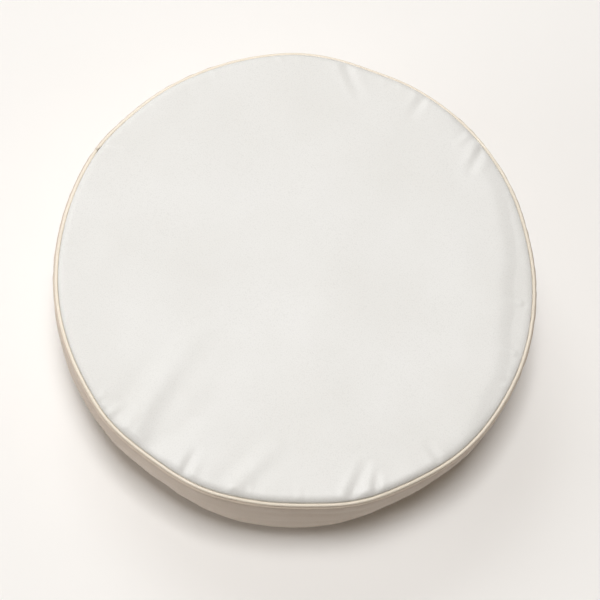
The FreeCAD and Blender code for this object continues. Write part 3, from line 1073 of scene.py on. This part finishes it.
def stitchRow(name, node, colour, paths, **changes):
    # paths: points, the way that the cloth faces there, and whether the row closes
    make = {**stitchMake, **changes}
    vertices, edges, facing = [], [], []
    for points, outward, closed in paths:
        first, count = len(vertices), len(points)
        vertices += points.tolist()
        facing.append(outward)
        edges += [(first + k, first + k + 1) for k in range(count - 1)]
        if closed:
            edges.append((first + count - 1, first))
    piece = meshPiece(name, vertices, [], edges)
    layer = piece.data.attributes.new("outward", "FLOAT_VECTOR", "POINT")
    layer.data.foreach_set("vector", np.concatenate(facing).astype(np.float32).ravel())
    sewing = piece.modifiers.new("sewing", "NODES")
    sewing.node_group = stitchTree
    values = {
        "Pitch": make["pitch"], "Stitch Length": make["length"],
        "Thread Radius": make["radius"], "Rise": make["rise"], "Seed": make["seed"],
        "Thread": finishes[colour + "Thread"],
    }
    for item in stitchTree.interface.items_tree:
        if item.item_type == "SOCKET" and item.in_out == "INPUT" and item.name in values:
            sewing[item.identifier] = values[item.name]
    graph = bpy.context.evaluated_depsgraph_get()
    graph.update()
    mesh = bpy.data.meshes.new_from_object(piece.evaluated_get(graph))
    piece.modifiers.clear()
    piece.data = mesh
    mesh.name = name
    mesh.shade_smooth()
    hand(piece, colour + "_thread", node)


def bandRow(turn, run, side, closed):
    # a row on the outer face of the band, or on its inner one where side is -1
    reach = side * (sideBandMake["vinyl"] / 2 + stitchMake["standOff"])
    points = bandPoint(turn, run, reach)
    away = points - bandPoint(turn, run, 0)
    return points, away / np.linalg.norm(away, axis=-1, keepdims=True), closed


def ringRow(node, place):
    # a closed row on the face of the band, in the hem, or inside or outside in the seam
    turn = ringTurns(stitchMake["ringPoints"])
    if place == "face":
        return bandRow(turn, runAtHeight(middleHeight(node)) + 0 * turn, 1, True)
    radius, height = middleReach(node) + 0 * turn, middleHeight(node) + 0 * turn
    if place == "hem":
        facing = standing(turn, 0, 1)
        height = height + rearLift(turn, radius)
    else:
        facing = standing(turn, {"inside": -1, "outside": 1}[place], 0)
        radius, height = followRim(turn, radius, height)
    return standing(turn, radius, height), facing, True


def makeRings():
    for name, node, colour, place in (
        ("pipingNeedleStitches", "piping_needle_thread", "cream", "inside"),
        ("pipingBobbinStitches", "piping_bobbin_thread", "cream", "outside"),
        ("frontSeamNeedleStitches", "front_seam_needle_thread", "white", "inside"),
        ("frontSeamBobbinStitches", "front_seam_bobbin_thread", "white", "outside"),
        ("topstitchBobbinStitches", "topstitch_bobbin_thread", "white", "inside"),
        ("topstitchNeedleStitches", "topstitch_needle_thread", "white", "face"),
        ("hemNeedleStitches", "hem_needle_thread", "white", "hem"),
        ("hemBobbinStitches", "hem_bobbin_thread", "white", "hem"),
    ):
        stitchRow(name, node, colour, [ringRow(node, place)])


def makeClosingRows():
    # two rows down the band where its ends are lapped
    make = stitchMake
    halfGap = make["closingGap"] / rimRadius
    corner = sideBandMake["shoulderRadius"] - sideBandMake["vinyl"] / 2
    foot = returnRun - corner * math.radians(make["closingFoot"])
    for name, node, side in (
        ("closingNeedleStitches", "closing_needle_thread", 1),
        ("closingBobbinStitches", "closing_bobbin_thread", -1),
    ):
        run = np.linspace(runAtHeight(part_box(node)[1].z), foot, make["closingPoints"])
        stitchRow(name, node, "white", [
            bandRow(closingTurn + offset + 0 * run, run, side, False)
            for offset in (-halfGap, halfGap)])


def makeElasticTack():
    # three bars of thread across the lapped ends
    make, node = stitchMake, "elastic_tack_thread"
    inner, length = elasticInner + make["tackInset"], make["tackLength"]
    paths = []
    for place in (-1, 0, 1):
        turn = np.full(9, closingTurn + place * make["tackSpacing"] / (inner + length / 2))
        radius = np.linspace(inner, inner + length, 9)
        height = middleHeight(node) + rearLift(turn, radius)
        paths.append((standing(turn, radius, height), standing(turn, 0, 1), False))
    stitchRow("elasticTackStitches", node, "white", paths, pitch=0.0016, length=0.0017)


makeRings()
makeClosingRows()
makeElasticTack()
print("stitches made")

# pale floor and soft light, nearly all of it from overhead
studio = {
    "floorRadius": 7.2,
    "floorColours": ((0.905, 0.902, 0.895), (0.89, 0.885, 0.875)),
    "zenith": (0.39, 0.33, 0.265),
    "horizon": (0.05, 0.038, 0.027),
    # painted shade on the backdrop that the camera sees: darker low down, paler above
    "backdropLow": (0.58, 0.572, 0.56),
    "backdropHigh": (0.91, 0.905, 0.895),
    "backdropRise": 0.16,    # sine of the elevation where the backdrop is at its palest
    # lamps: place, size in metres, watts and colour
    "overheadLight": ((-0.50, 0.12, 7.0), (2.0, 2.0), 318, (0.996, 0.996, 0.996)),
    "backLight": ((-3.3, 4.7, 5.6), (4.0, 4.0), 162, (0.975, 0.99, 1.0)),
    "leftLight": ((-5.4, -2.0, 1.5), (3.0, 1.8), 80, (0.995, 0.995, 0.995)),
    "lampAim": (0, 0, 0.1),
}


def makeFloor():
    turn = ringTurns(96)
    piece = meshPiece("floor", standing(turn, studio["floorRadius"], 0).tolist(),
                      [tuple(range(len(turn)))])
    material, tree, shader = newFinish("floorPaper", Specular_IOR_Level=0.1, Roughness=0.9)
    wear = fillGroup(tree, "handling", {"Vector": bodyPlace(tree), "Patch Scale": 1.4})
    tree.links.new(blendColours(tree, wear["Patches"], *studio["floorColours"]),
                   shader.inputs["Base Color"])
    piece.data.materials.append(material)


def makeSurroundings():
    # the room is bright overhead and dim at the sides; the backdrop that the camera sees carries
    # painted shade, darker towards the horizon to match the far floor and paler above
    world = bpy.data.worlds.new("surroundings")
    scene.world = world
    world.use_nodes = True
    tree = world.node_tree
    tree.nodes.clear()
    seen = result(tree, "ShaderNodeLightPath")
    facing = tree.nodes.new("ShaderNodeTexCoord").outputs["Generated"]
    height = addNode(tree, "ShaderNodeSeparateXYZ", {0: facing}).outputs["Z"]
    above = maths(tree, "POWER", maths(tree, "MAXIMUM", height, 0.0), 3.0)
    sky = blendColours(tree, above, studio["horizon"], studio["zenith"])
    fill = result(tree, "ShaderNodeBackground", {"Color": sky})
    rise = remap(tree, height, 0.0, studio["backdropRise"])
    paper = blendColours(tree, rise, studio["backdropLow"], studio["backdropHigh"])
    backdrop = result(tree, "ShaderNodeBackground", {"Color": paper})
    mix = result(tree, "ShaderNodeMixShader", {0: seen, 1: fill, 2: backdrop})
    addNode(tree, "ShaderNodeOutputWorld", {"Surface": mix})


def makeLamp(name):
    place, size, power, colour = studio[name]
    data = bpy.data.lights.new(name, "AREA")
    data.shape = "RECTANGLE"
    data.size, data.size_y = size
    data.energy = power
    data.color = colour
    lamp = bpy.data.objects.new(name, data)
    lamp.location = place
    facing = Vector(studio["lampAim"]) - Vector(place)
    lamp.rotation_euler = facing.to_track_quat("-Z", "Y").to_euler()
    scene.collection.objects.link(lamp)


makeFloor()
makeSurroundings()
for lampName in ("overheadLight", "backLight", "leftLight"):
    makeLamp(lampName)
scene.view_settings.view_transform = "Standard"
print("floor and light made")
